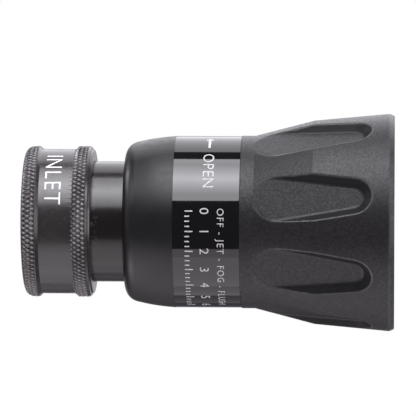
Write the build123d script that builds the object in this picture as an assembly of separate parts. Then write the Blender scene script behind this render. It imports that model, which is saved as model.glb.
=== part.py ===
from build123d import *
import math
import os

# A 1 inch twist-shutoff fire hose nozzle, in millimetres.
# The origin is on the axis where the inlet thread starts, +X is the way the water leaves, +Z is up.
# At rest the sleeve is fully forward and the nozzle is shut.

# Waterway and inlet
BORE_R = 12.5
THREAD_R = 15.55
THREAD_LENGTH = 11.0
INLET_X = -1.0
GASKET_RECESS_R = 17.7

# Swivel coupling and neck
COUPLING_R = 24.9
COUPLING_BAND_R = 23.85
REAR_KNURL_END_X = 3.6
BAND_X = 4.8
BAND_END_X = 15.4
FRONT_KNURL_X = 16.7
SHOULDER_X = 20.1
SHOULDER_STEP_X = 20.85
COUPLING_END_X = 21.7
NECK_R = 19.87
SWIVEL_CLEARANCE = 0.08
TAIL_X = 14.0
RACE_X = 18.3
RACE_R = 19.91
BALL_R = 1.985
BALL_COUNT = 30
BALL_PLUG_R = 2.1
BALL_PLUG_ANGLE = 30.0

# Base and its spigot
SCREEN_SEAT_R = 14.65
SCREEN_SEAT_X = 16.1
SCREEN_CLIP_XS = (14.35, 15.05)
SPIDER_RING_XS = (21.6, 22.85)
NECK_END_X = 42.0
SPIGOT_R = 17.0
SPIGOT_END_X = 71.5
SPIDER_X = 22.9
SPIDER_END_X = 30.95
SPIDER_R = 13.97
HUB_R = 5.5
HUB_BORE_R = 3.0
STEM_R = 4.0
STEM_THREAD_R = 2.97
STEM_X = 18.4
STEM_END_X = 101.0
SCREW_BORE_R = 2.5
SCREW_HEAD_X = 103.6
SCREW_HEAD_R = 4.4
ORING_SECTION_R = 1.3
ORING_XS = (64.3, 68.1)
ORING_GROOVE_R = 14.44

# Cam: the sleeve goes back by TRAVEL over CAM_TURN degrees
TRAVEL = 8.0
CAM_TURN = 180.0
CAM_PIN_X = 40.0
CAM_PIN_R = 1.5
CAM_PIN_FOOT_R = 15.5
CAM_SLOT_HALF_WIDTH = 1.65
CAM_ANGLES = (0.0, 180.0)
GUIDE_PIN_X = 54.0
GUIDE_PIN_R = 1.25
GUIDE_ANGLES = (90.0, 270.0)

# Discharge tube and baffle
TUBE_X = 51.0
SKIRT_R = 17.1
SKIRT_OUTER_R = 19.8
TUBE_SHOULDER_X = 86.0
JOURNAL_R = 15.5
TUBE_GROOVE_X = 90.68
TUBE_GROOVE_END_X = 91.95
TUBE_GROOVE_R = 14.4
ORIFICE_R = 11.0
SEAT_X = 99.0
BAFFLE_CONE_X = 92.0
BAFFLE_X = 102.0
BAFFLE_R = 14.0
BAFFLE_END_X = 106.0
SEAL_OUTER_R = 13.3
BAFFLE_BOSS_R = 9.5

# Sleeve
COVER_X = 32.1
COVER_BORE_R = 20.4
COVER_CORNER_R = 5.0
COVER_TAPER_X = 42.0
COVER_TAPER_R = 27.72
LABEL_X = 48.8
LABEL_END_X = 70.4
LABEL_R = 28.3
LAND_R = 27.7
CORE_X = 34.2
CORE_BORE_R = 20.2
WIPER_SEAT_R = 22.4
WIPER_END_X = 36.4
CORE_REAR_R = 24.0
CORE_FRONT_R = 24.5
WEB_X = 87.0
WEB_END_X = 90.6
SHAPER_R = 19.0
CORE_FLANGE_X = 100.0
CORE_FLANGE_END_X = 103.0
CORE_FLANGE_R = 27.0
LIP_X = 104.8
LIP_R = 21.5
LIP_END_X = 110.6
TOOTH_CLIP_XS = (109.1, 110.15)
TOOTH_CLIP_R = 20.8

# Bumper and its finger flutes
COLLAR_END_X = 74.6
COLLAR_R = 28.45
KINK_X = 94.4
KINK_R = 33.55
RIM_X = 119.1
RIM_R = 35.8
FRONT_X = 120.6
FRONT_R = 35.05
BELL_R = 31.4
FLUTE_COUNT = 8
FLUTE_FIRST_ANGLE = 165.6
FLUTE_FLOOR_R = 28.3
FLUTE_FLOOR_RISE = 3.8
FLUTE_FLOOR_RUN = 32.8
FLUTE_REAR_X = 82.0
FLUTE_REAR_R = 7.1
FLUTE_FRONT_X = 107.1
FLUTE_FRONT_R = 3.45
FLUTE_WALL_ANGLE = 52.0
FLUTE_CUT_HEIGHT = 9.0

# Fog teeth
TOOTH_RING_X = 105.0
TOOTH_BASE_X = 108.8
TOOTH_END_X = 113.2
TOOTH_RING_R = 26.5
TOOTH_INNER_R = 23.2
TOOTH_COUNT = 24
TOOTH_LEAN = 18.0


def turned(*corners):
    """A solid turned about the X axis. A corner is (x, radius) or (x, radius, rounding)."""
    points = [(corner[0], corner[1]) for corner in corners]
    rounds = [corner[2] if len(corner) > 2 else 0.0 for corner in corners]
    outline = FilletPolyline(*points, radius=rounds, close=True)
    return revolve(make_face(outline), Axis.X)


def ring(x, centre_r, section_r):
    """A torus about the X axis."""
    return Pos(x, 0, 0) * Rot(Y=90) * Torus(centre_r, section_r)


def plain_ring(x, end_x, inner_r, outer_r):
    """A ring of rectangular section about the X axis."""
    return turned((x, inner_r), (x, outer_r), (end_x, outer_r), (end_x, inner_r))


def radial_peg(x, angle, peg_r, inner_r, outer_r):
    """A round peg that points away from the axis. Angles turn from +Y towards +Z."""
    peg = Pos(x, (inner_r + outer_r) / 2, 0) * Rot(X=90) * Cylinder(peg_r, outer_r - inner_r)
    return Rot(X=angle) * peg


def hex_prism(x, end_x, across_flats):
    """A hexagonal prism along the X axis."""
    outline = RegularPolygon(across_flats / 2, 6, major_radius=False)
    return extrude(Plane.YZ.offset(x) * outline, end_x - x)


def snap_ring(x, end_x, inner_r, outer_r, gap_angle, gap):
    """A flat spring ring, open at one place."""
    opening = Pos((x + end_x) / 2, outer_r, 0) * Box(2 * (end_x - x), 2 * outer_r, gap)
    return plain_ring(x, end_x, inner_r, outer_r) - Rot(X=gap_angle) * opening


# ---- coupling, held by the hose ----

def swivel_coupling():
    corner_r = 3.0
    bore_r = NECK_R + SWIVEL_CLEARANCE
    shell = turned(
        (INLET_X, THREAD_R - INLET_X),
        (INLET_X, COUPLING_R, corner_r),
        (REAR_KNURL_END_X, COUPLING_R),
        (BAND_X, COUPLING_BAND_R),
        (BAND_END_X, COUPLING_BAND_R),
        (FRONT_KNURL_X, COUPLING_R),
        (SHOULDER_X, COUPLING_R),
        (SHOULDER_STEP_X, COUPLING_R - 0.4),
        (SHOULDER_STEP_X + 0.2, COUPLING_R - 0.9),
        (COUPLING_END_X - 0.1, COUPLING_R - 1.3),
        (COUPLING_END_X, COUPLING_R - 1.6),
        (COUPLING_END_X, bore_r),
        (TAIL_X, bore_r),
        (TAIL_X, GASKET_RECESS_R),
        (THREAD_LENGTH, GASKET_RECESS_R),
        (THREAD_LENGTH, THREAD_R),
        (0.0, THREAD_R),
    )
    filling_hole = radial_peg(RACE_X, BALL_PLUG_ANGLE, BALL_PLUG_R, RACE_R, COUPLING_R + 1)
    return shell - race() - filling_hole


def race():
    """The ball race, cut half into the coupling and half into the tail."""
    return ring(RACE_X, RACE_R, BALL_R + 0.075)


def inlet_gasket():
    gap = 0.02
    return plain_ring(THREAD_LENGTH + gap, TAIL_X - gap, BORE_R + 0.2, GASKET_RECESS_R - 0.1)


def swivel_balls():
    balls = []
    for index in range(BALL_COUNT):
        angle = 2 * math.pi * index / BALL_COUNT
        balls.append(Pos(RACE_X, RACE_R * math.cos(angle), RACE_R * math.sin(angle)) * Sphere(BALL_R))
    return Compound(children=balls)


def ball_plug():
    plug_end_r = 24.3
    socket_depth = 1.2
    plug = radial_peg(0, 0, BALL_PLUG_R - 0.03, 22.0, plug_end_r)
    socket_floor = Plane.XZ.offset(socket_depth - plug_end_r)
    socket = extrude(socket_floor * RegularPolygon(1.0, 6, major_radius=False), -2 * socket_depth)
    return Pos(RACE_X, 0, 0) * Rot(X=BALL_PLUG_ANGLE) * (plug - socket)


# ---- base, which turns in the coupling ----

def base_body():
    spider_seat_r = SPIDER_R + 0.03
    spider_stop_x = SPIDER_END_X + 0.05
    body = turned(
        (TAIL_X + 0.05, SCREEN_SEAT_R),
        (TAIL_X + 0.05, NECK_R, 0.4),
        (NECK_END_X, NECK_R, 0.4),
        (NECK_END_X, SPIGOT_R),
        (SPIGOT_END_X, SPIGOT_R, 0.5),
        (SPIGOT_END_X, BORE_R, 0.8),
        (spider_stop_x, BORE_R),
        (spider_stop_x, spider_seat_r),
        (SCREEN_SEAT_X, spider_seat_r),
        (SCREEN_SEAT_X, SCREEN_SEAT_R),
    )
    body -= race()
    body -= plain_ring(*SCREEN_CLIP_XS, SCREEN_SEAT_R - 1, 15.3)
    body -= plain_ring(*SPIDER_RING_XS, spider_seat_r - 1, 15.0)
    for x in ORING_XS:
        half_width = ORING_SECTION_R + 0.1
        body -= plain_ring(x - half_width, x + half_width, ORING_GROOVE_R, SPIGOT_R + 1)
    for angle in CAM_ANGLES:
        body -= radial_peg(CAM_PIN_X, angle, CAM_PIN_R, CAM_PIN_FOOT_R, NECK_R + 1)
    for angle in GUIDE_ANGLES:
        body -= Rot(X=angle) * guide_groove()
    return body


def guide_groove():
    """The straight groove that one guide pin slides in."""
    margin = 0.35
    low_x = GUIDE_PIN_X - TRAVEL - GUIDE_PIN_R - margin
    high_x = GUIDE_PIN_X + GUIDE_PIN_R + margin
    bottom_r = 15.4
    groove = Box(high_x - low_x, 4, 2 * (GUIDE_PIN_R + 0.08))
    return Pos((low_x + high_x) / 2, bottom_r + 2, 0) * groove


def inlet_screen():
    disc = plain_ring(SCREEN_CLIP_XS[1] + 0.05, SCREEN_SEAT_X - 0.05, 0.0, SCREEN_SEAT_R - 0.05)
    hole_r = 1.15
    pitch = 3.1
    holes = []
    for row in range(-4, 5):
        for column in range(-5, 6):
            y = (column + 0.5 * (row % 2)) * pitch
            z = row * pitch * math.sqrt(3) / 2
            if math.hypot(y, z) < BORE_R - hole_r:
                holes.append(Pos(SCREEN_SEAT_X, y, z) * Rot(Y=90) * Cylinder(hole_r, 3))
    return disc - holes


def screen_clip():
    start, end = SCREEN_CLIP_XS
    return snap_ring(start + 0.02, end - 0.02, 13.6, 15.25, gap_angle=20.0, gap=3.0)


def stem_spider():
    vane_thickness = 2.2
    rim = plain_ring(SPIDER_X, SPIDER_END_X, BORE_R, SPIDER_R)
    hub = plain_ring(SPIDER_X, SPIDER_END_X, HUB_BORE_R, HUB_R)
    length = SPIDER_END_X - SPIDER_X
    reach = BORE_R - HUB_R + 1.0
    vane = Pos((SPIDER_X + SPIDER_END_X) / 2, (BORE_R + HUB_R) / 2, 0) * Box(length, reach, vane_thickness)
    spider = rim + hub
    for angle in (90, 210, 330):
        spider += Rot(X=angle) * vane
    return spider


def spider_ring():
    start, end = SPIDER_RING_XS
    return snap_ring(start + 0.05, end - 0.05, 13.1, 14.95, gap_angle=150.0, gap=4.0)


def stem():
    tap_depth = 11.0
    return turned(
        (STEM_X, 0.0),
        (STEM_X, STEM_THREAD_R, 0.5),
        (SPIDER_END_X, STEM_THREAD_R),
        (SPIDER_END_X, STEM_R, 0.3),
        (STEM_END_X, STEM_R),
        (STEM_END_X, SCREW_BORE_R),
        (STEM_END_X - tap_depth, SCREW_BORE_R),
        (STEM_END_X - tap_depth - 1, 0.0),
    )


def stem_nut():
    foot_x = SPIDER_X - 0.05
    tip_x = STEM_X - 1.2
    blind_x = STEM_X - 0.2
    dome = turned(
        (foot_x, HUB_BORE_R),
        (foot_x, 5.0),
        (tip_x + 3, 5.0, 1.0),
        (tip_x, HUB_BORE_R, 1.5),
        (tip_x, 0.0),
        (blind_x, 0.0),
        (blind_x, HUB_BORE_R),
    )
    return dome & hex_prism(tip_x - 1, SPIDER_X, across_flats=9.0)


def baffle_head():
    bore_r = STEM_R + 0.03
    dish_floor_x = BAFFLE_END_X - 0.8
    counterbore_r = SCREW_HEAD_R + 0.3
    return turned(
        (BAFFLE_CONE_X, STEM_R + 0.6),
        (SEAT_X, BAFFLE_BOSS_R),
        (BAFFLE_X, BAFFLE_BOSS_R),
        (BAFFLE_X, BAFFLE_R, 0.3),
        (BAFFLE_END_X, BAFFLE_R, 1.0),
        (BAFFLE_END_X, 7.5),
        (dish_floor_x, 6.2),
        (dish_floor_x, counterbore_r),
        (SCREW_HEAD_X, counterbore_r),
        (SCREW_HEAD_X, SCREW_BORE_R + 0.1),
        (STEM_END_X, SCREW_BORE_R + 0.1),
        (STEM_END_X, bore_r),
        (BAFFLE_CONE_X, bore_r),
    )


def baffle_seal():
    return plain_ring(SEAT_X + 0.05, BAFFLE_X, BAFFLE_BOSS_R + 0.05, SEAL_OUTER_R)


def baffle_screw():
    tip_x = 91.0
    top_x = 106.3
    shank_r = SCREW_BORE_R - 0.05
    socket_depth = 1.6
    screw = turned(
        (tip_x, 0.0),
        (tip_x, shank_r, 0.4),
        (SCREW_HEAD_X, shank_r),
        (SCREW_HEAD_X, SCREW_HEAD_R),
        (top_x, SCREW_HEAD_R, 0.5),
        (top_x, 0.0),
    )
    return screw - hex_prism(top_x - socket_depth, top_x + 1, across_flats=3.0)


def spigot_orings():
    centre_r = ORING_GROOVE_R + ORING_SECTION_R + 0.02
    return Compound(children=[ring(x, centre_r, ORING_SECTION_R) for x in ORING_XS])


def cam_pins():
    head_r = 23.6
    pins = [radial_peg(CAM_PIN_X, angle, CAM_PIN_R, CAM_PIN_FOOT_R, head_r) for angle in CAM_ANGLES]
    return Compound(children=pins)


# ---- discharge tube, which slides on the base ----

def discharge_tube():
    tube = turned(
        (TUBE_X, SKIRT_R),
        (TUBE_X, SKIRT_OUTER_R, 0.4),
        (TUBE_SHOULDER_X, SKIRT_OUTER_R, 0.4),
        (TUBE_SHOULDER_X, JOURNAL_R),
        (TUBE_GROOVE_X, JOURNAL_R),
        (TUBE_GROOVE_X, TUBE_GROOVE_R),
        (TUBE_GROOVE_END_X, TUBE_GROOVE_R),
        (TUBE_GROOVE_END_X, JOURNAL_R),
        (94.0, JOURNAL_R),
        (SEAT_X, 12.3),
        (SEAT_X, 11.5),
        (SEAT_X - 0.8, ORIFICE_R),
        (90.0, ORIFICE_R, 3.0),
        (80.0, SKIRT_R, 3.0),
    )
    for angle in GUIDE_ANGLES:
        tube -= radial_peg(GUIDE_PIN_X, angle, GUIDE_PIN_R, SKIRT_R - 1, SKIRT_OUTER_R + 1)
    return tube


def guide_pins():
    head_r = SKIRT_OUTER_R - 0.1
    pins = [radial_peg(GUIDE_PIN_X, angle, GUIDE_PIN_R, 15.6, head_r) for angle in GUIDE_ANGLES]
    return Compound(children=pins)


def thrust_washer():
    return plain_ring(TUBE_SHOULDER_X + 0.02, WEB_X - 0.05, JOURNAL_R + 0.1, SKIRT_OUTER_R - 0.2)


def tube_snap_ring():
    start = TUBE_GROOVE_X + 0.02
    end = TUBE_GROOVE_END_X - 0.05
    return snap_ring(start, end, TUBE_GROOVE_R + 0.05, 17.0, gap_angle=45.0, gap=4.0)


# ---- sleeve, which turns on the tube ----

def sleeve_core():
    web_r = JOURNAL_R + SWIVEL_CLEARANCE
    core = turned(
        (CORE_X, WIPER_SEAT_R),
        (CORE_X, CORE_REAR_R, 0.4),
        (LABEL_X, CORE_REAR_R),
        (LABEL_X, LAND_R),
        (LABEL_END_X, LAND_R),
        (LABEL_END_X, CORE_FRONT_R),
        (CORE_FLANGE_X, CORE_FRONT_R),
        (CORE_FLANGE_X, CORE_FLANGE_R, 0.5),
        (CORE_FLANGE_END_X, CORE_FLANGE_R, 0.5),
        (CORE_FLANGE_END_X, CORE_FRONT_R),
        (LIP_X, CORE_FRONT_R),
        (LIP_X, LIP_R),
        (LIP_END_X, LIP_R, 0.3),
        (LIP_END_X, SHAPER_R + 0.9),
        (LIP_END_X - 2, SHAPER_R),
        (97.0, SHAPER_R, 2.0),
        (WEB_END_X, 17.4),
        (WEB_END_X, web_r),
        (WEB_X, web_r),
        (WEB_X, CORE_BORE_R),
        (WIPER_END_X, CORE_BORE_R),
        (WIPER_END_X, WIPER_SEAT_R),
    )
    core -= plain_ring(*TOOTH_CLIP_XS, TOOTH_CLIP_R - 0.05, LIP_R + 1)
    for angle in CAM_ANGLES:
        core -= Rot(X=angle) * cam_slot()
    return core


def cam_slot():
    """A helical slot through the core. A pin goes from its rear end to its front end as the nozzle opens."""
    inner_r = 19.0
    outer_r = 24.6
    middle_r = (inner_r + outer_r) / 2
    lead = TRAVEL * 360.0 / CAM_TURN
    path = Helix(lead, TRAVEL, middle_r)
    section = Rectangle(outer_r - inner_r, 2 * CAM_SLOT_HALF_WIDTH)
    slot = sweep(Plane(path @ 0, x_dir=(1, 0, 0), z_dir=path % 0) * section, path=path, is_frenet=True)
    start = Plane((CAM_PIN_X, 0, 0), x_dir=(0, 1, 0), z_dir=(1, 0, 0))
    slot = start.location * slot
    slot += radial_peg(CAM_PIN_X, 0.0, CAM_SLOT_HALF_WIDTH, inner_r, outer_r)
    slot += radial_peg(CAM_PIN_X + TRAVEL, CAM_TURN, CAM_SLOT_HALF_WIDTH, inner_r, outer_r)
    return slot


def rear_cover():
    """The moulded cover: a rounded rear corner, then a taper that flattens towards the label band."""
    inner_r = CORE_REAR_R + 0.05
    return turned(
        (COVER_X, COVER_BORE_R),
        (COVER_X, 25.5, COVER_CORNER_R),
        (COVER_TAPER_X, COVER_TAPER_R, 60.0),
        (LABEL_X - 0.05, LABEL_R),
        (LABEL_X - 0.05, inner_r),
        (CORE_X - 0.05, inner_r),
        (CORE_X - 0.05, COVER_BORE_R),
    )


def neck_wiper():
    gap = 0.02
    return plain_ring(CORE_X + gap, WIPER_END_X - gap, NECK_R + SWIVEL_CLEARANCE, WIPER_SEAT_R - 0.05)


def label_band():
    return plain_ring(LABEL_X, LABEL_END_X - 0.05, LAND_R + 0.02, LABEL_R)


def bumper():
    gap = 0.05
    inner_r = CORE_FRONT_R + gap
    groove_x = CORE_FLANGE_X - gap
    groove_end_x = CORE_FLANGE_END_X + gap
    bell_end_x = LIP_X + 2 * gap
    body = turned(
        (LABEL_END_X, inner_r),
        (LABEL_END_X, COLLAR_R, 0.25),
        (COLLAR_END_X, COLLAR_R - gap),
        (KINK_X, KINK_R),
        (RIM_X, RIM_R),
        (FRONT_X, FRONT_R),
        (FRONT_X, BELL_R, 0.8),
        (bell_end_x, CORE_FLANGE_R),
        (bell_end_x, inner_r),
        (groove_end_x, inner_r),
        (groove_end_x, CORE_FLANGE_R + gap),
        (groove_x, CORE_FLANGE_R + gap),
        (groove_x, inner_r),
    )
    cutter = flute_cutter()
    for index in range(FLUTE_COUNT):
        body -= Rot(X=index * 360 / FLUTE_COUNT) * cutter
    return Rot(X=FLUTE_FIRST_ANGLE) * body


def flute_cutter():
    """One finger flute on the +Y side: a flat floor that climbs forward, inside walls that lean outward."""
    slope = math.atan2(FLUTE_FLOOR_RISE, FLUTE_FLOOR_RUN)
    along = (math.cos(slope), math.sin(slope), 0)
    outward = (-math.sin(slope), math.cos(slope), 0)
    floor = Plane((COLLAR_END_X, FLUTE_FLOOR_R, 0), x_dir=along, z_dir=outward)
    spread = FLUTE_CUT_HEIGHT * math.tan(math.radians(FLUTE_WALL_ANGLE))
    bottom = floor * flute_outline(0.0, slope)
    top = floor.offset(FLUTE_CUT_HEIGHT) * flute_outline(spread, slope)
    return loft([bottom, top], ruled=True)


def flute_outline(spread, slope):
    """Two circles joined by their tangents, each grown by the spread."""
    rear_u = (FLUTE_REAR_X - COLLAR_END_X) / math.cos(slope)
    front_u = (FLUTE_FRONT_X - COLLAR_END_X) / math.cos(slope)
    lean = math.asin((FLUTE_REAR_R - FLUTE_FRONT_R) / (front_u - rear_u))
    side = (math.sin(lean), math.cos(lean))
    rear_r = FLUTE_REAR_R + spread
    front_r = FLUTE_FRONT_R + spread
    rear_corner = (rear_u + rear_r * side[0], rear_r * side[1])
    front_corner = (front_u + front_r * side[0], front_r * side[1])
    outline = [
        ThreePointArc(mirrored(rear_corner), (rear_u - rear_r, 0), rear_corner),
        Line(rear_corner, front_corner),
        ThreePointArc(front_corner, (front_u + front_r, 0), mirrored(front_corner)),
        Line(mirrored(front_corner), mirrored(rear_corner)),
    ]
    return make_face(Curve() + outline)


def mirrored(point):
    return (point[0], -point[1])


def tooth_ring_clip():
    start, end = TOOTH_CLIP_XS
    return snap_ring(start + 0.05, end - 0.05, TOOTH_CLIP_R, 22.9, gap_angle=70.0, gap=4.0)


# ---- fog teeth, which spin on the sleeve ----

def tooth_ring():
    teeth = plain_ring(TOOTH_RING_X, TOOTH_BASE_X, LIP_R + SWIVEL_CLEARANCE, TOOTH_RING_R)
    root_width = 2.6
    tip_width = 1.5
    middle_r = (TOOTH_INNER_R + TOOTH_RING_R) / 2
    depth = TOOTH_RING_R - TOOTH_INNER_R - 0.3
    drift = (TOOTH_END_X - TOOTH_BASE_X) * math.tan(math.radians(TOOTH_LEAN))
    root = Plane.YZ.offset(TOOTH_BASE_X - 0.5) * Pos(middle_r, 0) * Rectangle(depth, root_width)
    tip = Plane.YZ.offset(TOOTH_END_X) * Pos(middle_r, drift) * Rectangle(depth, tip_width)
    tooth = loft([root, tip], ruled=True)
    pattern = [Rot(X=index * 360 / TOOTH_COUNT) * tooth for index in range(TOOTH_COUNT)]
    return teeth + pattern


PARTS = (
    swivel_coupling,
    inlet_gasket,
    swivel_balls,
    ball_plug,
    base_body,
    inlet_screen,
    screen_clip,
    stem_spider,
    spider_ring,
    stem,
    stem_nut,
    baffle_head,
    baffle_seal,
    baffle_screw,
    spigot_orings,
    cam_pins,
    discharge_tube,
    guide_pins,
    thrust_washer,
    tube_snap_ring,
    sleeve_core,
    rear_cover,
    neck_wiper,
    label_band,
    bumper,
    tooth_ring_clip,
    tooth_ring,
)

os.makedirs("parts", exist_ok=True)
for make_part in PARTS:
    export_step(make_part(), f"parts/{make_part.__name__}.step")
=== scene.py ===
"""The looks of a twist-shutoff fire hose nozzle.

Lengths are in millimetres until a mesh or a place is made. The nozzle's axis is X, with the inlet
at its start, and the camera looks along +Y.
"""

import math

import bmesh
import bpy
import numpy as np
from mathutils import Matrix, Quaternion, Vector


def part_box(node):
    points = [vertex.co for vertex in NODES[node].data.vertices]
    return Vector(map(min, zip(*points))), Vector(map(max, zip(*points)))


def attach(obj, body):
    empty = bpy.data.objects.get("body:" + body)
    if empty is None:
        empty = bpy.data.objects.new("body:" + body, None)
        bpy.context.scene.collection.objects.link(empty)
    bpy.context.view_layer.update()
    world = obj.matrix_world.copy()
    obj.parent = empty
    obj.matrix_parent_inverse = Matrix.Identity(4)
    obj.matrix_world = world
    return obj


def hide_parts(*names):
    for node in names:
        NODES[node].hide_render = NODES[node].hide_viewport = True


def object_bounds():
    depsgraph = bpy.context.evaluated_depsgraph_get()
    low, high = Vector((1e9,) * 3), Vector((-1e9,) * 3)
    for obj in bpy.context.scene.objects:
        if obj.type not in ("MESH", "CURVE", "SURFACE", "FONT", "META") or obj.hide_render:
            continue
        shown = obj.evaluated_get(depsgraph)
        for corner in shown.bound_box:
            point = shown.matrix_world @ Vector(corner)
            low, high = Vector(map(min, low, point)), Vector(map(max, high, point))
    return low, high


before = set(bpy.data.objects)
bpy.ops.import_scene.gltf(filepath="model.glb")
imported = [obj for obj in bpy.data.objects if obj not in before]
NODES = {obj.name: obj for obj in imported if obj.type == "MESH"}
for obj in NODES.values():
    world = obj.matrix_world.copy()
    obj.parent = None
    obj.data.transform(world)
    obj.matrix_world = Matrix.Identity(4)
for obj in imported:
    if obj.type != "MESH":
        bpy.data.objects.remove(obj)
cad_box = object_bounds()

MM = 0.001


def span(node):
    """Where a CAD node starts and ends along the axis, and its outer radius, in millimetres."""
    low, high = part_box(node)
    return low.x / MM, high.x / MM, high.z / MM


# ---------------------------------------------------------------- mesh helpers


def arc(centre_x, centre_r, radius, start, end, steps):
    """Points (x, r) on an arc, from one angle to another, in degrees."""
    angles = np.radians(np.linspace(start, end, steps + 1))
    return [(centre_x + radius * math.cos(a), centre_r + radius * math.sin(a)) for a in angles]


def run(start, end, step):
    """Points (x, r) on a straight line, without its last point."""
    count = max(1, round(math.dist(start, end) / step))
    first, last = np.array(start), np.array(end)
    return [tuple(first + (last - first) * i / count) for i in range(count)]


def through(*corners):
    """Runs through corners (x, r, spacing towards the next one), without the last point."""
    points = []
    for (x, r, step), following in zip(corners, corners[1:]):
        points += run((x, r), following[:2], step)
    return points


def ring_angles(columns):
    """Angles about the X axis, from +Y towards +Z."""
    return np.arange(columns) * 2 * np.pi / columns


def ring_mesh(name, xs, radii):
    """A closed ring. Each row is one place on its section, each column one angle; both wrap."""
    rows, columns = radii.shape
    angles = ring_angles(columns)
    places = np.empty((rows, columns, 3))
    places[:, :, 0] = xs[:, None]
    places[:, :, 1] = radii * np.cos(angles)
    places[:, :, 2] = radii * np.sin(angles)
    here = np.arange(rows * columns).reshape(rows, columns)
    down = np.roll(here, -1, axis=0)
    faces = np.stack([here, np.roll(here, -1, axis=1), np.roll(down, -1, axis=1), down], axis=-1)
    mesh = bpy.data.meshes.new(name)
    mesh.from_pydata((places.reshape(-1, 3) * MM).tolist(), [], faces.reshape(-1, 4).tolist())
    return mesh


def add_shade(mesh, name, values):
    """Gives each point of a mesh a number that its material reads."""
    shade = mesh.attributes.new(name, "FLOAT", "POINT")
    shade.data.foreach_set("value", values.astype(np.float32).ravel())


def finish_mesh(mesh, sharp_angle):
    """Outward normals, smooth shading, and sharp edges from an angle in degrees."""
    form = bmesh.new()
    form.from_mesh(mesh)
    bmesh.ops.recalc_face_normals(form, faces=form.faces)
    form.to_mesh(mesh)
    form.free()
    mesh.shade_smooth()
    mesh.set_sharp_from_angle(angle=math.radians(sharp_angle))
    mesh.update()


def add_piece(name, mesh, material, body):
    """A new visible piece that rides on a CAD body."""
    piece = bpy.data.objects.new(name, mesh)
    bpy.context.scene.collection.objects.link(piece)
    mesh.materials.clear()
    mesh.materials.append(material)
    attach(piece, body)
    return piece


def smooth_step(low, high, value):
    """Rises smoothly from 0 at low to 1 at high."""
    share = np.clip((value - low) / (high - low), 0.0, 1.0)
    return share * share * (3 - 2 * share)


def soft_min(a, b, width):
    """The smaller of two heights, with the crease between them rounded."""
    share = np.clip(width - np.abs(a - b), 0.0, None) / width
    return np.minimum(a, b) - share * share * width / 4


# ---------------------------------------------------------------- materials


class Shader:
    """A material's node tree, with short names for the nodes that this object needs."""

    def __init__(self, name):
        self.material = bpy.data.materials.new(name)
        self.material.use_nodes = True
        self.tree = self.material.node_tree
        self.surface = self.tree.nodes["Principled BSDF"]
        self.place = self.node("ShaderNodeTexCoord").outputs["Object"]

    def node(self, kind, **settings):
        made = self.tree.nodes.new(kind)
        for key, value in settings.items():
            setattr(made, key, value)
        return made

    def feed(self, socket, value):
        """Links a socket to another, or sets its value."""
        if isinstance(value, bpy.types.NodeSocket):
            self.tree.links.new(value, socket)
        else:
            socket.default_value = value

    def set(self, **values):
        """Sets or links the surface's own sockets."""
        for key, value in values.items():
            self.feed(self.surface.inputs[key.replace("_", " ")], value)

    def math(self, operation, first, second):
        made = self.node("ShaderNodeMath", operation=operation)
        self.feed(made.inputs[0], first)
        self.feed(made.inputs[1], second)
        return made.outputs[0]

    def shade(self, name):
        """The number that add_shade gave to each point."""
        return self.node("ShaderNodeAttribute", attribute_name=name).outputs["Fac"]

    def axes(self):
        """The place's x and its distance from the axis, in millimetres."""
        parts = self.node("ShaderNodeSeparateXYZ")
        self.feed(parts.inputs[0], self.place)
        across = self.node("ShaderNodeCombineXYZ")
        self.feed(across.inputs[1], parts.outputs[1])
        self.feed(across.inputs[2], parts.outputs[2])
        length = self.node("ShaderNodeVectorMath", operation="LENGTH")
        self.feed(length.inputs[0], across.outputs[0])
        return (
            self.math("MULTIPLY", parts.outputs[0], 1 / MM),
            self.math("MULTIPLY", length.outputs["Value"], 1 / MM),
        )

    def noise(self, grain_mm, detail=2.0, roughness=0.5, vector=None):
        """Noise with features about grain_mm across. A given vector is in millimetres."""
        made = self.node("ShaderNodeTexNoise")
        self.feed(made.inputs["Vector"], vector or self.place)
        unit = MM if vector is None else 1
        made.inputs["Scale"].default_value = 1 / (grain_mm * unit)
        made.inputs["Detail"].default_value = detail
        made.inputs["Roughness"].default_value = roughness
        return made.outputs["Fac"]

    def turned_lines(self, pitch_mm):
        """Fine rings left by a lathe tool: noise that changes only with x and the radius."""
        x, r = self.axes()
        along = self.node("ShaderNodeCombineXYZ")
        self.feed(along.inputs[0], x)
        self.feed(along.inputs[1], r)
        return self.noise(pitch_mm, detail=3.0, roughness=0.6, vector=along.outputs[0])

    def ramp(self, value, low, high, low_out=0.0, high_out=1.0):
        """Turns the range from low to high into the range from low_out to high_out, smoothly."""
        made = self.node("ShaderNodeMapRange", interpolation_type="SMOOTHSTEP")
        for socket, number in zip(made.inputs, (value, low, high, low_out, high_out)):
            self.feed(socket, number)
        return made.outputs[0]

    def uneven(self, low, high, grain_mm, detail=4.0):
        """A number that drifts between two, in patches about grain_mm across."""
        return self.ramp(self.noise(grain_mm, detail), 0.3, 0.7, low, high)

    def blend(self, share, first, second):
        """Mixes two colours."""
        made = self.node("ShaderNodeMix", data_type="RGBA")
        self.feed(made.inputs["Factor"], share)
        self.feed(made.inputs["A"], first)
        self.feed(made.inputs["B"], second)
        return made.outputs["Result"]

    def cloudy(self, dark, light, grain_mm, detail=3.0):
        """A colour that drifts between two, in patches about grain_mm across."""
        return self.blend(self.noise(grain_mm, detail), dark, light)

    def bump(self, height, depth_mm, normal=None):
        made = self.node("ShaderNodeBump")
        made.inputs["Strength"].default_value = 1.0
        made.inputs["Distance"].default_value = depth_mm * MM
        self.feed(made.inputs["Height"], height)
        if normal is not None:
            self.feed(made.inputs["Normal"], normal)
        return made.outputs["Normal"]

    def pitted(self, grain_mm, depth_mm, detail=2.0):
        """The normal of an even texture, about grain_mm across."""
        return self.bump(self.noise(grain_mm, detail), depth_mm)


def rgb(red, green, blue):
    return (red, green, blue, 1.0)


def grey(level):
    return rgb(level, level, level)


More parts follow.
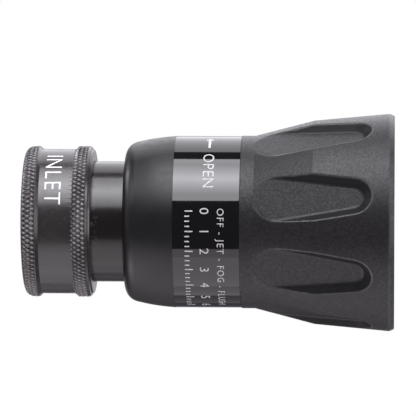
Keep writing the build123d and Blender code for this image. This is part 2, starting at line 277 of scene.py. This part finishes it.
def anodised(name, shine, wear_at=None):
    """Black anodised aluminium, turned on a lathe.

    wear_at gives the start and end, along the axis, of a stretch that is scuffed at both ends.
    """
    shader = Shader(name)
    colour = shader.cloudy(rgb(0.006, 0.0045, 0.004), rgb(0.01, 0.008, 0.0075), 6.0, detail=4.0)
    roughness = shader.uneven(0.19, 0.23, 2.0, detail=5.0)
    normal = shader.bump(shader.turned_lines(0.16), 0.0025)
    if wear_at:
        x, _ = shader.axes()
        start, end = wear_at
        near_start = shader.ramp(x, start + 0.5, start + 3.0, 1.0, 0.0)
        near_end = shader.ramp(x, end - 0.9, end, 0.0, 0.5)
        reach = shader.math("MAXIMUM", near_start, near_end)
        patches = shader.ramp(shader.noise(7.0), 0.42, 0.6)
        scratch = shader.ramp(shader.noise(0.8, detail=6.0, roughness=0.75), 0.52, 0.66)
        worn = shader.math("MULTIPLY", shader.math("MULTIPLY", reach, patches), scratch)
        share = shader.math("MULTIPLY", worn, 0.45)
        colour = shader.blend(share, colour, rgb(0.2, 0.2, 0.205))
        roughness = shader.math("ADD", roughness, shader.math("MULTIPLY", worn, 0.1))
        normal = shader.bump(worn, 0.015, normal)
    shader.set(Base_Color=colour, Roughness=roughness, Normal=normal, Specular_IOR_Level=shine)
    return shader.material


def knurled(name):
    """The same anodising, worn lighter on the diamonds' points."""
    shader = Shader(name)
    base = shader.cloudy(rgb(0.017, 0.0155, 0.0155), rgb(0.025, 0.023, 0.023), 4.0, detail=4.0)
    patch = shader.ramp(shader.noise(1.3, detail=3.0), 0.35, 0.75, 0.4, 1.0)
    worn = shader.math("MULTIPLY", shader.ramp(shader.shade("peak"), 0.4, 0.9), patch)
    share = shader.math("MULTIPLY", worn, 0.66)
    colour = shader.blend(share, base, rgb(0.36, 0.345, 0.355))
    roughness = shader.uneven(0.22, 0.28, 2.0, detail=5.0)
    normal = shader.bump(shader.turned_lines(0.16), 0.003)
    shader.set(Base_Color=colour, Roughness=roughness, Normal=normal, Specular_IOR_Level=0.58)
    return shader.material


def moulded_plastic(name):
    """Matte black moulded cover with a very fine texture."""
    shader = Shader(name)
    colour = shader.cloudy(rgb(0.0045, 0.0044, 0.005), rgb(0.0065, 0.0063, 0.007), 9.0)
    roughness = shader.uneven(0.34, 0.42, 3.0)
    normal = shader.pitted(0.3, 0.006)
    shader.set(Base_Color=colour, Roughness=roughness, Normal=normal, Specular_IOR_Level=0.35)
    return shader.material


def gloss_label(name):
    """Glossy black label band under clear lacquer."""
    shader = Shader(name)
    colour = shader.cloudy(rgb(0.001, 0.001, 0.0012), rgb(0.002, 0.002, 0.0023), 12.0, detail=2.0)
    haze = shader.noise(2.5, detail=6.0, roughness=0.7)
    roughness = shader.ramp(haze, 0.45, 0.75, 0.05, 0.1)
    normal = shader.pitted(5.0, 0.004, detail=1.0)
    shader.set(Base_Color=colour, Roughness=roughness, Normal=normal, Specular_IOR_Level=0.58)
    return shader.material


def smooth_rubber(name):
    """The bumper's rubber on the flutes' walls, where its mould has no grain; its reflection is
    turned down as painted shade in the flutes.
    """
    shader = Shader(name)
    colour = shader.cloudy(rgb(0.011, 0.0107, 0.0115), rgb(0.016, 0.0156, 0.0167), 5.0)
    roughness = shader.uneven(0.4, 0.48, 2.0)
    normal = shader.pitted(0.6, 0.012)
    # Painted shade: the low reflection darkens the flutes' walls.
    shader.set(Base_Color=colour, Roughness=roughness, Normal=normal, Specular_IOR_Level=0.08)
    return shader.material


def grained_rubber(name):
    """Matte black rubber with its mould's spark-eroded grain, lighter on its edges and rim: partly
    rubbed wear, partly painted highlight.
    """
    shader = Shader(name)
    grain = shader.noise(0.8, detail=4.0, roughness=0.7)
    speck = shader.ramp(grain, 0.4, 0.62)
    base = shader.cloudy(rgb(0.0068, 0.0065, 0.0072), rgb(0.009, 0.0086, 0.0095), 7.0)
    share = shader.math("MULTIPLY", speck, 0.6)
    colour = shader.blend(share, base, rgb(0.027, 0.0263, 0.0285))
    # Painted highlight, partly wear: a lighter colour on the flutes' edges and the front rim
    # stands in for the light lines that their rounded corners catch.
    patch = shader.ramp(shader.noise(1.5, detail=4.0), 0.35, 0.7, 0.5, 1.0)
    rub_and_highlight = shader.math("MULTIPLY", shader.shade("edge"), patch)
    colour = shader.blend(rub_and_highlight, colour, rgb(0.06, 0.0585, 0.062))
    roughness = shader.ramp(speck, 0.0, 1.0, 0.42, 0.32)
    normal = shader.bump(grain, 0.09)
    shader.set(Base_Color=colour, Roughness=roughness, Normal=normal, Specular_IOR_Level=0.29)
    return shader.material


def plain_rubber(name):
    """Seals and gaskets."""
    shader = Shader(name)
    colour = shader.cloudy(grey(0.012), grey(0.022), 3.0)
    shader.set(Base_Color=colour, Roughness=0.6, Normal=shader.pitted(0.25, 0.01))
    return shader.material


def turned_metal(name, light, dark, low_roughness, pitch_mm):
    """Bare metal with lathe rings."""
    shader = Shader(name)
    lines = shader.turned_lines(pitch_mm)
    colour = shader.blend(lines, dark, light)
    roughness = shader.uneven(low_roughness, low_roughness + 0.05, 6.0, detail=2.0)
    normal = shader.bump(lines, 0.008)
    shader.set(Base_Color=colour, Metallic=1.0, Roughness=roughness, Normal=normal)
    return shader.material


def natural_acetal(name):
    """Off-white washer plastic, turned."""
    shader = Shader(name)
    colour = shader.cloudy(rgb(0.72, 0.71, 0.66), rgb(0.8, 0.79, 0.75), 4.0, detail=2.0)
    normal = shader.bump(shader.turned_lines(0.2), 0.004)
    shader.set(Base_Color=colour, Roughness=0.42, Normal=normal)
    return shader.material


def white_ink(name, low, high):
    """Printed white, slightly uneven, between two greys."""
    shader = Shader(name)
    colour = shader.cloudy(grey(low), grey(high), 0.8, detail=4.0)
    shader.set(Base_Color=colour, Roughness=0.45, Normal=shader.pitted(0.2, 0.003))
    return shader.material


# ---------------------------------------------------------------- coupling


COUPLING_START, COUPLING_END, COUPLING_R = span("swivel_coupling")
REAR_CORNER_R = 3.0
REAR_KNURL_END = 3.6
BAND_START, BAND_END, BAND_R = 4.8, 15.4, 23.85
FRONT_KNURL_START = 16.7
SHOULDER_START, SHOULDER_STEP = 20.1, 20.85
BORE_R, BORE_CHAMFER = 19.95, 0.3
RACE_X, RACE_R = 18.3, 2.06
GASKET_SEAT_X, GASKET_SEAT_R = 14.0, 17.7

KNURLS = 98
KNURL_PITCH = 2 * math.pi * COUPLING_R / KNURLS
KNURL_AXIAL_PITCH = KNURL_PITCH * math.sqrt(3)
KNURL_DEPTH = 0.45
KNURL_SAMPLES = 12
SHALLOW_FLOOR, SHALLOW_RISE, DEEP_RISE = 0.2, 1.1, 1.3

THREAD_PITCH = 3.175
THREAD_SAMPLES = 20
THREAD_CREST_R = 15.55
THREAD_DEPTH = 1.95
THREAD_LENGTH = 11.0
THREAD_CREST_SHARE, THREAD_FLANK_SHARE = 0.14, 0.74

PLUG_ANGLE = math.radians(30.0)
PLUG_R = 2.1
PLUG_FLOOR_R = 22.2
PLUG_WALL = 0.06
PLUG_RIM, PLUG_RIM_DEPTH = 0.35, 0.3


def coupling_section():
    """The ring's section as one loop: outside from the inlet end, then back through the bore."""
    corner = REAR_CORNER_R
    fine = KNURL_AXIAL_PITCH / KNURL_SAMPLES
    start, end, outer = COUPLING_START, COUPLING_END, COUPLING_R
    points = arc(start + corner, outer - corner, corner, 180, 90, 8)[:-1]
    points += through(
        (start + corner, outer, fine),
        (REAR_KNURL_END, outer, 0.2),
        (BAND_START, BAND_R, 1.5),
        (BAND_END, BAND_R, fine),
        (FRONT_KNURL_START, outer, fine),
        (SHOULDER_START, outer, 0.2),
        (SHOULDER_STEP, outer - 0.4, 0.1),
        (SHOULDER_STEP + 0.2, outer - 0.9, 0.15),
        (end - 0.1, outer - 1.3, 0.1),
        (end, outer - 1.6, 0.8),
        (end, BORE_R + BORE_CHAMFER),
    )
    points += [(end, BORE_R + BORE_CHAMFER), (end - BORE_CHAMFER, BORE_R)]
    points += arc(RACE_X, BORE_R, RACE_R, 0, 180, 10)
    points += [(GASKET_SEAT_X, BORE_R), (GASKET_SEAT_X, GASKET_SEAT_R)]
    points += [(THREAD_LENGTH, GASKET_SEAT_R)]
    points += through(
        (THREAD_LENGTH, THREAD_CREST_R, THREAD_PITCH / THREAD_SAMPLES),
        (0.0, THREAD_CREST_R, 0.3),
        (start, THREAD_CREST_R - start),
    )
    points += [(start, THREAD_CREST_R - start)]
    return np.array(points)


def triangle_wave(value):
    """0 at whole numbers and 1 half-way between them."""
    return 1 - np.abs(2 * (value - np.floor(value)) - 1)


def knurl_peak(x, angles):
    """1 on a diamond's flat point and 0 in the deeper of the two crossed helices of grooves."""
    around = angles * COUPLING_R / KNURL_PITCH
    along = x / KNURL_AXIAL_PITCH
    shallow = SHALLOW_FLOOR + SHALLOW_RISE * triangle_wave(around + along)
    deep = DEEP_RISE * triangle_wave(around - along)
    return np.clip(np.minimum(shallow, deep), 0.0, 1.0)


def knurl_cover(x):
    """1 on the two knurled rims and 0 elsewhere, with a short run-out at each end."""
    rear = smooth_step(COUPLING_START + 0.05, COUPLING_START + 0.9, x)
    rear = rear * (1 - smooth_step(REAR_KNURL_END - 0.15, REAR_KNURL_END + 0.15, x))
    front = smooth_step(BAND_END, BAND_END + 0.2, x)
    front = front * (1 - smooth_step(SHOULDER_START - 0.2, SHOULDER_START, x))
    return rear + front


def thread_cut(x, angles):
    """How deep a right-hand 60 degree thread is cut: flat crest and root, run out at both ends."""
    phase = triangle_wave(x / THREAD_PITCH - angles / (2 * np.pi))
    shape = np.clip((phase - THREAD_CREST_SHARE) / THREAD_FLANK_SHARE, 0.0, 1.0)
    run_in = smooth_step(-0.6, 0.6, x)
    run_out = 1 - smooth_step(THREAD_LENGTH - 0.9, THREAD_LENGTH - 0.2, x)
    return THREAD_DEPTH * shape * run_in * run_out


def make_coupling():
    """The knurled ring with its hose thread, and the hole that the ball plug sits in."""
    section = coupling_section()
    angles = ring_angles(KNURLS * KNURL_SAMPLES)[None, :]
    x = section[:, 0][:, None]
    nominal = section[:, 1][:, None]
    outside = nominal > BAND_R - 1.2
    inside = nominal < THREAD_CREST_R + 1.5
    cover = knurl_cover(x) * outside
    peak = knurl_peak(x, angles)
    cut = nominal - KNURL_DEPTH * (1 - peak) * cover
    radii = np.maximum(cut, np.minimum(nominal, BAND_R))
    radii = radii + thread_cut(x, angles) * inside
    from_plug = np.hypot(x - RACE_X, (angles - PLUG_ANGLE) * COUPLING_R)
    hole = (1 - smooth_step(PLUG_R - PLUG_WALL, PLUG_R, from_plug)) * outside
    rim = (1 - smooth_step(PLUG_R, PLUG_R + PLUG_RIM, from_plug)) * outside
    spot_face = np.minimum(radii, COUPLING_R - PLUG_RIM_DEPTH * rim)
    radii = np.where(rim > 0, spot_face, radii)
    radii = radii - (radii - PLUG_FLOOR_R) * hole
    mesh = ring_mesh("coupling_ring", section[:, 0], radii)
    add_shade(mesh, "peak", peak * np.clip(cover, 0, 1))
    finish_mesh(mesh, 28.0)
    material = knurled("knurled_anodised")
    piece = add_piece("coupling_ring", mesh, material, "coupling")
    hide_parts("swivel_coupling")


# ---------------------------------------------------------------- bumper


BUMPER_START, BUMPER_END, BUMPER_R = span("bumper")
REAR_LIP_R = 0.3
COLLAR_END, COLLAR_R = 74.6, 28.45
KINK_X, KINK_R = 94.4, 33.55
FULL_X, FULL_R = 116.0, 35.52
RIM_X = 119.1
FRONT_R = 35.05
FRONT_ROUND_R = 0.8
BUMPER_BORE_R = 24.55
CLIP_GROOVE_START, CLIP_GROOVE_END, CLIP_GROOVE_R = 99.95, 103.05, 27.05

FLUTES = 8
FLUTE_COLUMNS = 132
FLUTE_FIRST = math.radians(165.6)
FLUTE_FLOOR_R = 28.3
FLUTE_SLOPE = math.atan2(3.8, 32.8)
FLUTE_REAR_X, FLUTE_REAR_R = 82.0, 7.1
FLUTE_FRONT_X, FLUTE_FRONT_R = 107.1, 3.45
FLUTE_WALL = math.tan(math.radians(52.0))
FLOOR_ROUND, EDGE_ROUND = 0.45, 0.4
RIM_RUB_AND_HIGHLIGHT = 0.85


def bumper_outside():
    """The outline that the flutes are cut into, from the rear edge to the front rim."""
    lip = REAR_LIP_R
    points = [(BUMPER_START, COLLAR_R - lip)]
    points += arc(BUMPER_START + lip, COLLAR_R - lip, lip, 180, 90, 4)[1:-1]
    points += through(
        (BUMPER_START + lip, COLLAR_R, 0.6),
        (COLLAR_END - 0.3, COLLAR_R, 0.12),
        (COLLAR_END + 0.2, COLLAR_R - 0.02, 0.2),
        (KINK_X - 0.2, KINK_R - 0.05, 0.1),
        (KINK_X + 0.2, KINK_R + 0.01, 0.2),
        (FULL_X, FULL_R, 0.5),
        (RIM_X - 0.15, BUMPER_R - 0.012, 0.08),
        (RIM_X + 0.15, BUMPER_R - 0.1, 0.3),
        (BUMPER_END - 0.12, FRONT_R + 0.07),
    )
    points += [(BUMPER_END - 0.12, FRONT_R + 0.07), (BUMPER_END, FRONT_R - 0.1)]
    return points


def bumper_inside():
    """Back from the front rim through the bell and the clip's groove to the rear edge."""
    points = run((BUMPER_END, 34.2), (BUMPER_END, 32.4), 0.6)
    points += arc(BUMPER_END - FRONT_ROUND_R, 32.0, FRONT_ROUND_R, 0, -70, 6)
    points += [(118.6, 30.95), (112.0, 29.0), (105.0, 27.0), (104.9, 26.9)]
    points += [(104.9, BUMPER_BORE_R)]
    points += [(CLIP_GROOVE_END, BUMPER_BORE_R), (CLIP_GROOVE_END, CLIP_GROOVE_R)]
    points += [(CLIP_GROOVE_START, CLIP_GROOVE_R), (CLIP_GROOVE_START, BUMPER_BORE_R)]
    points += [(BUMPER_START, BUMPER_BORE_R)]
    return points


def outside_flute(u, v):
    """Signed distance from the flute's floor outline: two circles and their tangents."""
    rear = (FLUTE_REAR_X - COLLAR_END) / math.cos(FLUTE_SLOPE)
    front = (FLUTE_FRONT_X - COLLAR_END) / math.cos(FLUTE_SLOPE)
    length = front - rear
    narrowing = (FLUTE_REAR_R - FLUTE_FRONT_R) / length
    lean = math.sqrt(1 - narrowing * narrowing)
    along, side = u - rear, np.abs(v)
    reach = along * lean - side * narrowing
    to_rear = np.hypot(along, side) - FLUTE_REAR_R
    to_front = np.hypot(along - length, side) - FLUTE_FRONT_R
    to_tangent = along * narrowing + side * lean - FLUTE_REAR_R
    return np.where(reach < 0, to_rear, np.where(reach > length * lean, to_front, to_tangent))


def over_flute(x, offset, radius):
    """A point's height over the plane of a flute's floor, and its distance from the outline."""
    up = radius * np.cos(offset) - FLUTE_FLOOR_R
    forward = x - COLLAR_END
    height = up * math.cos(FLUTE_SLOPE) - forward * math.sin(FLUTE_SLOPE)
    u = forward * math.cos(FLUTE_SLOPE) + up * math.sin(FLUTE_SLOPE)
    return height, outside_flute(u, radius * np.sin(offset))


def flute_radius(x, offset):
    """The radius at which a ray from the axis meets one flute's floor or leaning wall."""
    low = np.full(np.broadcast(x, offset).shape, 20.0)
    high = np.full(low.shape, 60.0)
    for _ in range(32):
        middle = (low + high) / 2
        height, clearance = over_flute(x, offset, middle)
        wall = clearance / FLUTE_WALL
        rise = -soft_min(-wall, np.zeros_like(wall), FLOOR_ROUND)
        under = height < rise
        low = np.where(under, middle, low)
        high = np.where(under, high, middle)
    return (low + high) / 2


def make_bumper():
    """The fluted rubber sleeve. Its edges and rim are lighter, as rubbed wear and painted
    highlight, and its flutes' walls are smooth and darker, as painted shade.
    """
    outside = np.array(bumper_outside())
    inside = np.array(bumper_inside())
    columns = FLUTES * FLUTE_COLUMNS
    step = 2 * np.pi / FLUTES
    offset = (ring_angles(columns) - FLUTE_FIRST + step / 2) % step - step / 2
    offset = offset[None, :]
    x = outside[:, 0][:, None]
    flute = flute_radius(x, offset)
    outer = np.repeat(outside[:, 1][:, None], columns, axis=1)
    cut = soft_min(outer, flute, EDGE_ROUND)
    # Painted highlight and wear: marks the flutes' edges and the front rim for a lighter colour.
    rub_and_highlight = 1 - smooth_step(0.1, 0.5, np.abs(outer - flute))
    rub_and_highlight = rub_and_highlight * smooth_step(COLLAR_END + 4, COLLAR_END + 14, x)
    rub_and_highlight = np.maximum(rub_and_highlight, RIM_RUB_AND_HIGHLIGHT * smooth_step(RIM_X - 0.4, RIM_X - 0.1, x))
    _, clearance = over_flute(x, offset, flute)
    wall = (clearance > 0.2) & (flute < outer - 0.3)
    outer = np.where(x < BUMPER_END - 0.1, cut, outer)
    radii = np.vstack([outer, np.repeat(inside[:, 1][:, None], columns, axis=1)])
    mesh = ring_mesh("bumper_moulded", np.concatenate([outside[:, 0], inside[:, 0]]), radii)
    not_outside = np.zeros((len(inside), columns))
    add_shade(mesh, "edge", np.vstack([rub_and_highlight, not_outside]))
    finish_mesh(mesh, 50.0)
    material = grained_rubber("bumper_grained")
    piece = add_piece("bumper_moulded", mesh, material, "sleeve")
    # The flutes' walls get the darker rubber: painted shade.
    mesh.materials.append(smooth_rubber("bumper_smooth_shaded"))
    smooth = np.vstack([wall, not_outside]).astype(np.int32)
    mesh.polygons.foreach_set("material_index", smooth.ravel())
    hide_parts("bumper")


# ---------------------------------------------------------------- printing


LABEL_R = span("label_band")[2]
INK_THICKNESS = 0.03
WORD_X, WORD_ANGLE = 9.4, 141.5
OPEN_X, OPEN_ANGLE, ARROW_ANGLE = 60.2, 143.0, 114.0
POSITIONS_X, POSITIONS_ANGLE = 64.0, 212.0
NUMBERS = 7
NUMBERS_X, NUMBER_FIRST, NUMBER_STEP = 59.1, 173.0, 13.4
TICKS_X = 54.1
TICKS_PER_NUMBER = 4
TICK_WIDTH, LONG_TICK, SHORT_TICK = 0.42, 2.6, 1.5

# By the body that the printing rides on: it is brighter on the coupling than on the label.
INKS = {
    "coupling": white_ink("coupling_ink", 0.72, 0.86),
    "sleeve": white_ink("label_ink", 0.4, 0.52),
}


def wrap(mesh, radius, x, angle):
    """Bends a flat mesh round the axis: its x runs towards growing angles and its y along +X."""
    for vertex in mesh.vertices:
        turn = angle + vertex.co.x / radius
        height = radius + INK_THICKNESS / 2 + vertex.co.z
        place = (x + vertex.co.y, height * math.cos(turn), height * math.sin(turn))
        vertex.co = Vector(place) * MM


def slice_across(mesh, step):
    """Cuts a flat mesh into strips so that it can bend."""
    form = bmesh.new()
    form.from_mesh(mesh)
    xs = [vertex.co.x for vertex in form.verts]
    place = min(xs) + step
    while place < max(xs):
        everything = form.verts[:] + form.edges[:] + form.faces[:]
        bmesh.ops.bisect_plane(form, geom=everything, plane_co=(place, 0, 0), plane_no=(1, 0, 0))
        place += step
    form.to_mesh(mesh)
    form.free()


def printed(name, mesh, radius, x, degrees, body, slot):
    """A piece of white printing on a round surface, centred on x and on an angle."""
    slice_across(mesh, 0.7)
    wrap(mesh, radius, x, math.radians(degrees))
    finish_mesh(mesh, 40.0)
    return add_piece(name, mesh, INKS[body], body)


def thicken(form, faces):
    """Makes flat faces into a plate as thick as the ink."""
    grown = bmesh.ops.extrude_face_region(form, geom=faces)
    raised = {part for part in grown["geom"] if isinstance(part, bmesh.types.BMVert)}
    for vertex in form.verts:
        vertex.co.z = INK_THICKNESS * (0.5 if vertex in raised else -0.5)


def text_mesh(words, height, spacing=1.0, squeeze=1.0, stroke=0.0):
    """Letters of a given height as a plate, centred on their own origin."""
    curve = bpy.data.curves.new("letters", "FONT")
    curve.body = words
    curve.size = 1.0
    curve.space_character = spacing
    curve.offset = stroke
    curve.resolution_u = 4
    curve.fill_mode = "BOTH"
    made = bpy.data.objects.new("letters", curve)
    bpy.context.scene.collection.objects.link(made)
    bpy.context.view_layer.update()
    mesh = bpy.data.meshes.new_from_object(made)
    bpy.data.objects.remove(made)
    form = bmesh.new()
    form.from_mesh(mesh)
    bmesh.ops.remove_doubles(form, verts=form.verts, dist=1e-5)
    thicken(form, form.faces[:])
    form.to_mesh(mesh)
    form.free()
    places = np.array([vertex.co for vertex in mesh.vertices])
    low, high = places.min(0), places.max(0)
    scale = height / (high[1] - low[1])
    middle = (low + high) / 2
    for vertex in mesh.vertices:
        vertex.co.x = (vertex.co.x - middle[0]) * scale * squeeze
        vertex.co.y = (vertex.co.y - middle[1]) * scale
    return mesh


def outline_mesh(points):
    """A plate with a polygon outline."""
    form = bmesh.new()
    corners = [form.verts.new((x, y, 0.0)) for x, y in points]
    thicken(form, [form.faces.new(corners)])
    mesh = bpy.data.meshes.new("plate")
    form.to_mesh(mesh)
    form.free()
    return mesh


def bar(width, height):
    """A rectangle."""
    x, y = width / 2, height / 2
    return outline_mesh([(-x, -y), (x, -y), (x, y), (-x, y)])


def arrow(length, height):
    """An arrow that points against the reading direction."""
    head, shaft = height / 2, height / 7
    tip = -length / 2
    neck = tip + head * 1.2
    return outline_mesh([
        (tip, 0), (neck, -head), (neck, -shaft), (length / 2, -shaft),
        (length / 2, shaft), (neck, shaft), (neck, head),
    ])


def make_dial(side, turn):
    """A dial on the label band: an opening arrow, positions, numbers and ticks."""
    label = "sleeve", "label_gloss"
    word = text_mesh("OPEN", 3.6, spacing=1.1, stroke=-0.004)
    printed(f"open_word_{side}", word, LABEL_R, OPEN_X, OPEN_ANGLE + turn, *label)
    pointer = arrow(7.5, 3.0)
    printed(f"open_arrow_{side}", pointer, LABEL_R, OPEN_X, ARROW_ANGLE + turn, *label)
    words = text_mesh("OFF - JET - FOG - FLUSH", 2.9, spacing=1.2, stroke=-0.002)
    printed(f"positions_{side}", words, LABEL_R, POSITIONS_X, POSITIONS_ANGLE + turn, *label)
    for number in range(NUMBERS):
        degrees = NUMBER_FIRST + number * NUMBER_STEP + turn
        digit = text_mesh(str(number), 2.9, squeeze=1.1, stroke=-0.002)
        printed(f"number_{number}_{side}", digit, LABEL_R, NUMBERS_X, degrees, *label)
    for tick in range((NUMBERS - 1) * TICKS_PER_NUMBER + 1):
        height = SHORT_TICK if tick % TICKS_PER_NUMBER else LONG_TICK
        degrees = NUMBER_FIRST + tick * NUMBER_STEP / TICKS_PER_NUMBER + turn
        x = TICKS_X - (LONG_TICK - height) / 2
        mark = bar(TICK_WIDTH, height)
        printed(f"tick_{tick}_{side}", mark, LABEL_R, x, degrees, *label)


def make_printing():
    """The coupling's word, and the label band's dial, twice round."""
    word = text_mesh("INLET", 5.2, spacing=1.15, squeeze=0.95, stroke=-0.012)
    printed("coupling_word", word, BAND_R, WORD_X, WORD_ANGLE, "coupling", "coupling_black")
    for side, turn in (("near", 0.0), ("far", 180.0)):
        make_dial(side, turn)


# ---------------------------------------------------------------- CAD nodes that stay


def paint(material, *names):
    """Gives a material to CAD nodes whose shape stays as it is."""
    for name in names:
        mesh = NODES[name].data
        mesh.materials.clear()
        mesh.materials.append(material)


def paint_nodes():
    """Materials for every CAD node that isn't replaced."""
    cover_start = span("rear_cover")[0]
    neck = anodised("anodised_neck", 0.46, wear_at=(COUPLING_END, cover_start))
    paint(neck, "base_body")
    paint(anodised("anodised_core", 0.5), "sleeve_core")
    paint(moulded_plastic("cover_plastic"), "rear_cover")
    paint(gloss_label("label_gloss"), "label_band")
    rubber = plain_rubber("seal_rubber")
    paint(rubber, "inlet_gasket", "baffle_seal", "spigot_orings", "neck_wiper")
    light, dark = rgb(0.56, 0.56, 0.57), rgb(0.36, 0.36, 0.37)
    aluminium = turned_metal("bare_aluminium", light, dark, 0.3, 0.4)
    paint(aluminium, "baffle_head", "discharge_tube", "stem_spider")
    light, dark = rgb(0.46, 0.455, 0.45), rgb(0.3, 0.298, 0.292)
    steel = turned_metal("stainless", light, dark, 0.26, 0.35)
    paint(steel, "swivel_balls", "ball_plug", "inlet_screen", "screen_clip", "spider_ring")
    paint(steel, "stem", "stem_nut", "baffle_screw", "cam_pins", "guide_pins")
    paint(steel, "tube_snap_ring", "tooth_ring_clip", "tooth_ring")
    paint(natural_acetal("acetal"), "thrust_washer")


# ---------------------------------------------------------------- light, floor and camera


COOL = (0.96, 0.95, 1.0)
PAPER = (1.0, 0.95, 1.0)
LILAC = (0.93, 0.88, 1.0)

# The strip overhead: an even box, and narrower ones below it that brighten its middle. Each lies
# a little nearer than the one before, so that no two share a plane.
STRIP_LOW, STRIP_HIGH, STRIP_DISTANCE = 27.5, 91.0, 0.55
STRIP_X, STRIP_WIDTH = 0.01, 0.26
STRIP_RADIANCE = 5.3
GLOW_STEPS = 8
GLOW_MIDDLE, GLOW_SPREAD = 58.0, 22.0
GLOW_DISTANCE, GLOW_GAP = 0.545, 0.005
GLOW_RADIANCE = 5.5

# name, lowest angle, highest angle, distance, centre x, width, radiance, tint
WALLS = (
    ("back_wall", 106.5, 162.0, 0.9, 0.15, 1.0, 2.1, COOL),
    ("backdrop", 164.0, 196.0, 1.1, 0.06, 2.0, 0.7, COOL),
    ("table_edge", -48.0, -36.0, 0.59, -0.06, 1.1, 1.2, PAPER),
    ("table_near", -95.0, -48.0, 0.6, -0.06, 1.1, 1.6, PAPER),
    ("table_middle", -115.0, -95.0, 0.65, -0.06, 1.1, 1.05, PAPER),
    ("table_far", -140.0, -115.0, 0.8, -0.06, 1.1, 0.25, PAPER),
)

# name, direction, distance, width, height, radiance, tint, centre x
CARDS = (
    ("left_lamp", (-0.82, 0.25, 0.5), 0.9, 0.24, 0.24, 13.0, LILAC, 0.03),
    ("left_card", (-0.65, -0.45, 0.6), 0.9, 0.45, 0.4, 3.5, PAPER, 0.03),
    ("left_low_card", (-0.68, -0.08, -0.73), 0.9, 0.5, 0.45, 2.3, PAPER, 0.03),
    ("rear_card", (-1.0, 0.1, 0.2), 0.9, 0.6, 0.6, 1.5, PAPER, 0.0),
    ("front_card", (1.0, 0.15, 0.25), 0.9, 0.6, 0.6, 1.3, PAPER, 0.06),
    ("right_card", (0.88, -0.47, 0.0), 0.9, 0.45, 0.5, 3.6, PAPER, 0.04),
    ("right_lamp", (0.68, -0.45, 0.55), 0.8, 0.34, 0.3, 5.0, PAPER, 0.02),
)

ROOM = rgb(0.147, 0.135, 0.155)
FLOOR_SIZE, FLOOR_DROP = 12.0, 2.0
CAMERA_DISTANCE = 1.32
CAMERA_AIM = Vector((59.1 * MM, 0.0, 4.55 * MM))
CAMERA_ROLL = math.radians(0.24)
VIEW_WIDTH = 137.3 * MM


def soft_box(name, direction, distance, width, height, radiance, tint, centre_x):
    """A rectangular light that faces the axis at centre_x, from a direction. Sizes in metres."""
    lamp = bpy.data.lights.new(name, "AREA")
    lamp.shape = "RECTANGLE"
    lamp.size, lamp.size_y = width, height
    lamp.energy = radiance * math.pi * width * height
    lamp.color = tint
    holder = bpy.data.objects.new(name, lamp)
    bpy.context.scene.collection.objects.link(holder)
    away = Vector(direction).normalized()
    holder.location = Vector((centre_x, 0.0, 0.0)) + away * distance
    holder.rotation_mode = "QUATERNION"
    holder.rotation_quaternion = away.to_track_quat("Z", "Y")
    holder.visible_camera = False


def wrapped_box(name, low, high, distance, centre_x, width, radiance, tint):
    """A soft box parallel to the axis, between two angles in degrees above the camera side."""
    height = 2 * distance * math.tan(math.radians((high - low) / 2))
    middle = math.radians((low + high) / 2)
    direction = (0.0, -math.cos(middle), math.sin(middle))
    soft_box(name, direction, distance, width, height, radiance, tint, centre_x)


def make_lights():
    """A bright strip overhead, white walls behind and below, and cards at both ends."""
    edge = STRIP_LOW, STRIP_HIGH, STRIP_DISTANCE
    wrapped_box("strip_edge", *edge, STRIP_X, STRIP_WIDTH, STRIP_RADIANCE, COOL)
    for step in range(GLOW_STEPS):
        spread = GLOW_SPREAD * (1 - (step + 0.5) / GLOW_STEPS)
        part = GLOW_MIDDLE - spread, GLOW_MIDDLE + spread, GLOW_DISTANCE - GLOW_GAP * step
        share = GLOW_RADIANCE / GLOW_STEPS
        wrapped_box(f"strip_{step}", *part, STRIP_X, STRIP_WIDTH, share, COOL)
    for wall in WALLS:
        wrapped_box(*wall)
    for card in CARDS:
        soft_box(*card)


def make_world():
    """White behind the object for the camera, and a dim grey room in the reflections."""
    world = bpy.data.worlds.new("studio")
    bpy.context.scene.world = world
    world.use_nodes = True
    tree = world.node_tree
    room = tree.nodes["Background"]
    room.inputs["Color"].default_value = ROOM
    room.inputs["Strength"].default_value = 1.0
    white = tree.nodes.new("ShaderNodeBackground")
    white.inputs["Color"].default_value = grey(1.0)
    path = tree.nodes.new("ShaderNodeLightPath")
    chooser = tree.nodes.new("ShaderNodeMixShader")
    tree.links.new(path.outputs["Is Camera Ray"], chooser.inputs[0])
    tree.links.new(room.outputs[0], chooser.inputs[1])
    tree.links.new(white.outputs[0], chooser.inputs[2])
    tree.links.new(chooser.outputs[0], tree.nodes["World Output"].inputs["Surface"])


def make_floor():
    """A pale floor well below the nozzle, as on a light table."""
    mesh = bpy.data.meshes.new("floor")
    half = FLOOR_SIZE / 2
    outline = (-half, -half), (half, -half), (half, half), (-half, half)
    mesh.from_pydata([(x, y, -FLOOR_DROP) for x, y in outline], [], [(0, 1, 2, 3)])
    shader = Shader("floor_white")
    shader.set(Base_Color=grey(0.9), Roughness=0.8)
    shader.set(Emission_Color=grey(1.0), Emission_Strength=0.7)
    mesh.materials.append(shader.material)
    floor = bpy.data.objects.new("floor", mesh)
    bpy.context.scene.collection.objects.link(floor)
    floor.visible_glossy = False
    floor.visible_diffuse = False


def make_camera():
    """Level with the axis, square to the front rim, aimed left of it."""
    place = Vector((cad_box[1].x, -CAMERA_DISTANCE, 0.0))
    lens = bpy.data.cameras.new("camera")
    lens.sensor_width = 36.0
    lens.lens = lens.sensor_width * (place - CAMERA_AIM).length / VIEW_WIDTH
    lens.clip_start, lens.clip_end = 0.05, 20.0
    camera = bpy.data.objects.new("camera", lens)
    bpy.context.scene.collection.objects.link(camera)
    camera.location = place
    camera.rotation_mode = "QUATERNION"
    facing = (CAMERA_AIM - place).to_track_quat("-Z", "Y")
    camera.rotation_quaternion = facing @ Quaternion((0, 0, 1), CAMERA_ROLL)
    bpy.context.scene.camera = camera


make_coupling()
make_bumper()
make_printing()
paint_nodes()
make_lights()
make_world()
make_floor()
make_camera()
bpy.context.scene.view_settings.view_transform = "Standard"
